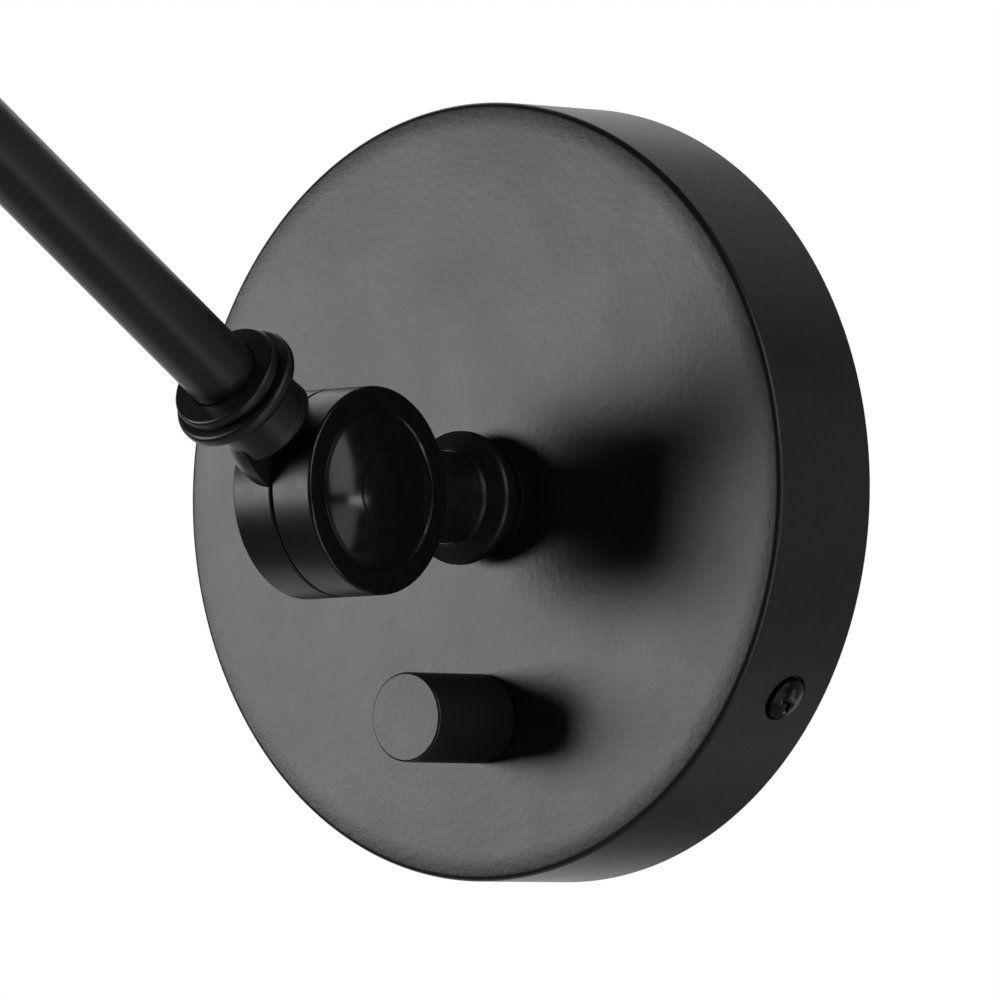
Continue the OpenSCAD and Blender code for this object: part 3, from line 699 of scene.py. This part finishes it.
def build_bulb():
    """Frosted globe with its drawn-in neck."""
    blend = math.radians(-48)
    steps = 24
    meet = Vector((BULB_R * math.cos(blend), BULB_MIDDLE + BULB_R * math.sin(blend)))
    side = []
    for k in range(steps + 1):
        t = k / steps
        side.append(Vector((BULB_NECK_R + (meet.x - BULB_NECK_R) * t * t * (1.7 - 0.7 * t),
                            BULB_NECK_FROM + (meet.y - BULB_NECK_FROM) * t)))
    cap_steps = 32
    cap_out = []
    cap_in = []
    for k in range(1, cap_steps + 1):
        a = blend + (math.pi / 2 - blend) * k / cap_steps
        way = Vector((math.cos(a), math.sin(a)))
        cap_out.append(Vector((0, BULB_MIDDLE)) + way * BULB_R)
        cap_in.append(Vector((0, BULB_MIDDLE)) + way * (BULB_R - BULB_WALL))
    cap_out[-1].x = 0
    cap_in[-1].x = 0
    inner = [p - Vector((BULB_WALL, 0)) for p in side]
    outline = side + cap_out + cap_in[::-1] + inner[::-1]
    add(turned("bulb_globe", outline, AT_SHADE, 128), "bulb_glass")


# ---------------------------------------------------------------- CAD pieces that stay


def dress_cad_nodes(replaced):
    """The hidden hardware keeps its CAD mesh and takes its slot's material."""
    for name, obj in frame["nodes"].items():
        if name in replaced:
            continue
        material = MATERIALS[SLOT_OF[name]]
        if not obj.material_slots:
            obj.data.materials.append(material)
        for slot in obj.material_slots:
            slot.material = material


# ---------------------------------------------------------------- studio


def build_camera():
    azimuth, elevation, roll = math.radians(40.7), math.radians(-3.0), math.radians(1.07)
    distance, aim_right, aim_up = 2.0, -0.01095, -0.0007
    back = Vector((math.sin(azimuth) * math.cos(elevation),
                   -math.cos(azimuth) * math.cos(elevation), math.sin(elevation)))
    right = (-back).cross(Vector((0, 0, 1))).normalized()
    up = right.cross(-back)
    rolled_right = right * math.cos(roll) - up * math.sin(roll)
    rolled_up = right * math.sin(roll) + up * math.cos(roll)
    place = Matrix((rolled_right, rolled_up, back)).transposed().to_4x4()
    place.translation = back * distance + rolled_right * aim_right + rolled_up * aim_up
    data = bpy.data.cameras.new("camera")
    data.sensor_width = 36
    data.lens = 464
    data.clip_start = 0.05
    data.clip_end = 50
    camera = bpy.data.objects.new("camera", data)
    camera.matrix_world = place
    bpy.context.scene.collection.objects.link(camera)
    bpy.context.scene.camera = camera


def soft_box(name, way, distance, size, radiance, aim=(0, -0.03, 0)):
    """A square or oblong soft box that faces the object from direction way."""
    data = bpy.data.lights.new(name, "AREA")
    data.shape = "RECTANGLE"
    data.size, data.size_y = size
    data.energy = radiance * math.pi * size[0] * size[1]
    box = bpy.data.objects.new(name, data)
    way = Vector(way).normalized()
    box.matrix_world = axes(Vector(aim) + way * distance, way, x=(way.y, -way.x, 0.001))
    box.visible_camera = False
    bpy.context.scene.collection.objects.link(box)
    return box


def build_lights():
    soft_box("key", (-0.701, -0.713, 0.045), 0.75, (0.43, 0.26), 6.3)
    soft_box("back", (-0.65, 0.76, 0.10), 1.3, (2.0, 1.6), 0.85)
    soft_box("back_right", (0.50, 0.866, 0.0), 1.3, (1.1, 1.0), 0.2)
    soft_box("side_up", (0.18, 0.757, 0.63), 1.3, (0.9, 0.6), 0.24)
    soft_box("side_low", (0.25, 0.757, -0.58), 1.3, (0.9, 0.6), 0.25)
    soft_box("top", (-0.62, 0.38, 0.68), 1.1, (0.7, 0.6), 1.1)
    soft_box("low_left", (-0.65, 0.35, -0.68), 1.1, (0.7, 0.55), 0.55)
    soft_box("right_up", (0.93, -0.28, 0.42), 1.1, (0.15, 0.55), 4.5)
    soft_box("right_low", (0.93, -0.28, -0.5), 1.1, (0.15, 0.5), 3.5)
    soft_box("dome_up", (0.97, 0.06, 0.42), 1.1, (0.36, 0.95), 1.4)
    soft_box("dome_low", (0.97, 0.10, -0.60), 1.1, (0.40, 1.0), 0.9)
    soft_box("right_bar", (0.965, 0.26, -0.07), 1.1, (0.26, 0.08), 5.0)


def build_world():
    """White where the camera looks past the object, and a dim grey room for its reflections."""
    world = bpy.data.worlds.new("studio")
    bpy.context.scene.world = world
    world.use_nodes = True
    tree = world.node_tree
    tree.nodes.clear()
    seen = tree.nodes.new("ShaderNodeBackground")
    seen.inputs["Color"].default_value = (1, 1, 1, 1)
    room = tree.nodes.new("ShaderNodeBackground")
    room.inputs["Color"].default_value = (1, 1, 1, 1)
    room.inputs["Strength"].default_value = 0.03
    path = tree.nodes.new("ShaderNodeLightPath")
    mix = tree.nodes.new("ShaderNodeMixShader")
    out = tree.nodes.new("ShaderNodeOutputWorld")
    tree.links.new(path.outputs["Is Camera Ray"], mix.inputs[0])
    tree.links.new(room.outputs[0], mix.inputs[1])
    tree.links.new(seen.outputs[0], mix.inputs[2])
    tree.links.new(mix.outputs[0], out.inputs["Surface"])


def build_floor():
    """Plain pale floor, well below the lamp."""
    floor_z = -1.4
    half = 2.0
    bm = bmesh.new()
    bm.faces.new([bm.verts.new((x, y, floor_z)) for x, y in
                  ((-half, -half), (half, -half), (half, half), (-half, half))])
    floor = finish_mesh("floor", bm)
    n = Nodes("pale_floor")
    grain = n.noise(30, 3, 0.5)
    n.colour(grain, 0.3, 0.7, (0.80, 0.80, 0.79), (0.84, 0.84, 0.83))
    n.set(Roughness=0.6)
    floor.data.materials.append(n.material)


build_camera()
build_world()
build_lights()
build_floor()

build_canopy()
build_side_screws()
build_knob()

build_knuckle("wall_knuckle_cast", "wall_knuckle", AT_WALL_JOINT, 1)
build_knuckle("lower_knuckle_cast", "lower_knuckle", AT_ARM_FOOT, -1)
build_knuckle("upper_knuckle_cast", "upper_knuckle", AT_ARM_HEAD, -1)
build_knuckle("shade_knuckle_cast", "shade_knuckle", AT_SHADE, 1)
build_plug("lower_right_plug", "lower_head_plug", AT_WALL_JOINT, 1)
build_plug("lower_left_plug", "lower_pivot_plug", AT_ARM_FOOT, -1)
build_plug("upper_left_plug", "upper_pivot_plug", AT_ARM_HEAD, -1)
build_plug("upper_right_plug", "upper_head_plug", AT_SHADE, 1)
build_collar("wall_collar_turned", "wall_collar", AT_WALL_JOINT, NIPPLE_HOLE_R)
build_collar("lower_collar_turned", "lower_collar", AT_ARM_FOOT, TUBE_R + 0.05)
build_collar("upper_collar_turned", "upper_collar", AT_ARM_HEAD, TUBE_R + 0.05)
build_collar("shade_collar_turned", "shade_collar", AT_SHADE, NIPPLE_HOLE_R)

build_tube()
build_cup()
build_shade()
build_shade_ring()
build_bulb()

REPLACED = {name for obj in bpy.data.objects for name in obj.get("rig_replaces", [])}
dress_cad_nodes(REPLACED)

bpy.context.scene.view_settings.view_transform = "Standard"
